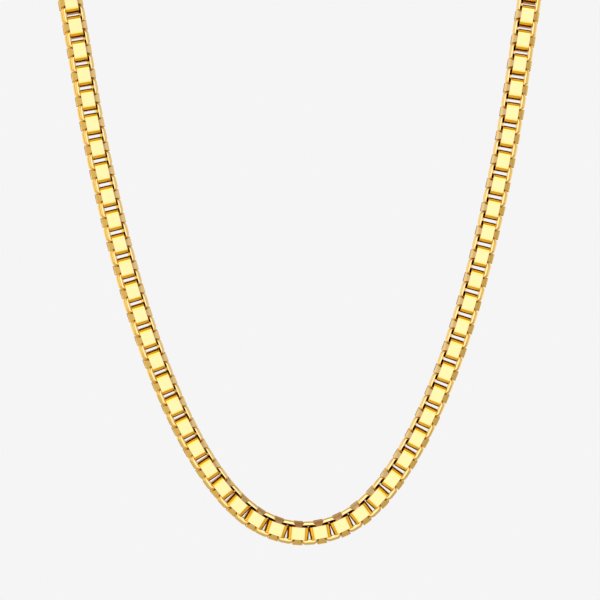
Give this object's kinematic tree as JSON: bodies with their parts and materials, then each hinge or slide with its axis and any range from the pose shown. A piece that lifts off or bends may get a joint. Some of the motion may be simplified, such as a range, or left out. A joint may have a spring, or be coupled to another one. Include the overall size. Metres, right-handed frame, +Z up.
{
  "type": "box chain necklace",
  "caption": "Closed box chain necklace in the form it takes when worn: square links in turn front and side, dovetail wings between them, plain barrel clasp at the nape.",
  "frame": {"origin": "the nape mount, on the chain's middle line where the necklace crosses the back of the neck, in the middle of the clasp's stretch", "axes": "+Z up, the drop hangs in front of the neck towards -Y, +X to the right of someone who looks at the front"},
  "size_m": [0.1076, 0.081, 0.1606],
  "materials": {
    "polished_gold": "polished yellow gold plate"
  },
  "bodies": {
    "root": {"box_chain": "polished_gold", "end_ring_left": "polished_gold", "end_ring_right": "polished_gold", "clasp": "polished_gold"}
  },
  "joints": []
}
